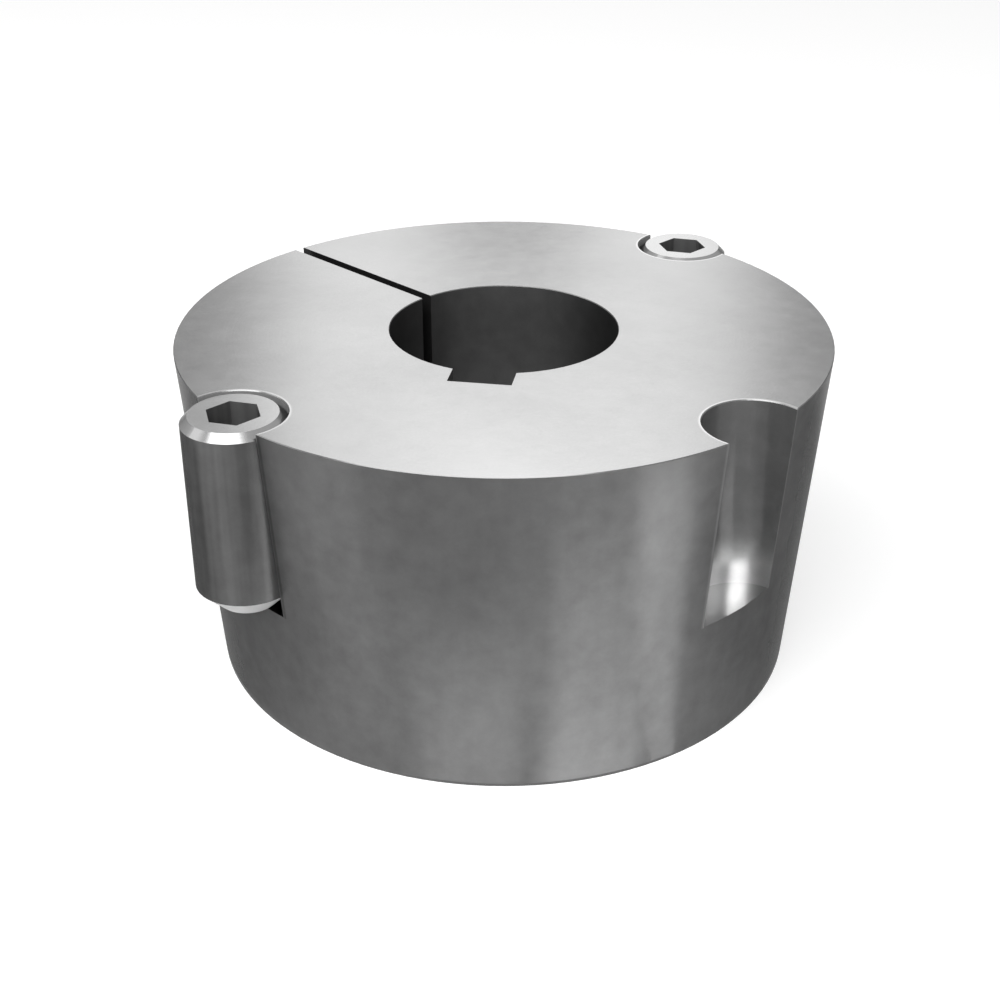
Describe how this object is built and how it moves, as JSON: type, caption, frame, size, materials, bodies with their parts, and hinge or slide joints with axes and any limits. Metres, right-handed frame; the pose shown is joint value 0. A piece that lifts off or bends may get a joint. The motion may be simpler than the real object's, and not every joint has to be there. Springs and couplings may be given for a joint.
{
  "type": "split taper clamping bushing",
  "caption": "Conical split bush with a keyed shaft bore, clamped by socket set screws in half-round pockets along its rim; locks a hub on a shaft.",
  "frame": {"origin": "on the bore axis, in the plane of the small end face that the bush stands on", "axes": "+Z along the bore axis from the small end to the large end face with the screws; the keyway lies along -Y; +X completes a right-handed frame"},
  "size_m": [0.0854, 0.0854, 0.0445],
  "materials": {
    "bush_steel": "fine turned and ground, satin",
    "screw_steel": "turned, satin"
  },
  "bodies": {
    "root": {"taper_bush": "bush_steel", "set_screw_front": "screw_steel", "set_screw_rear": "screw_steel"}
  },
  "joints": []
}
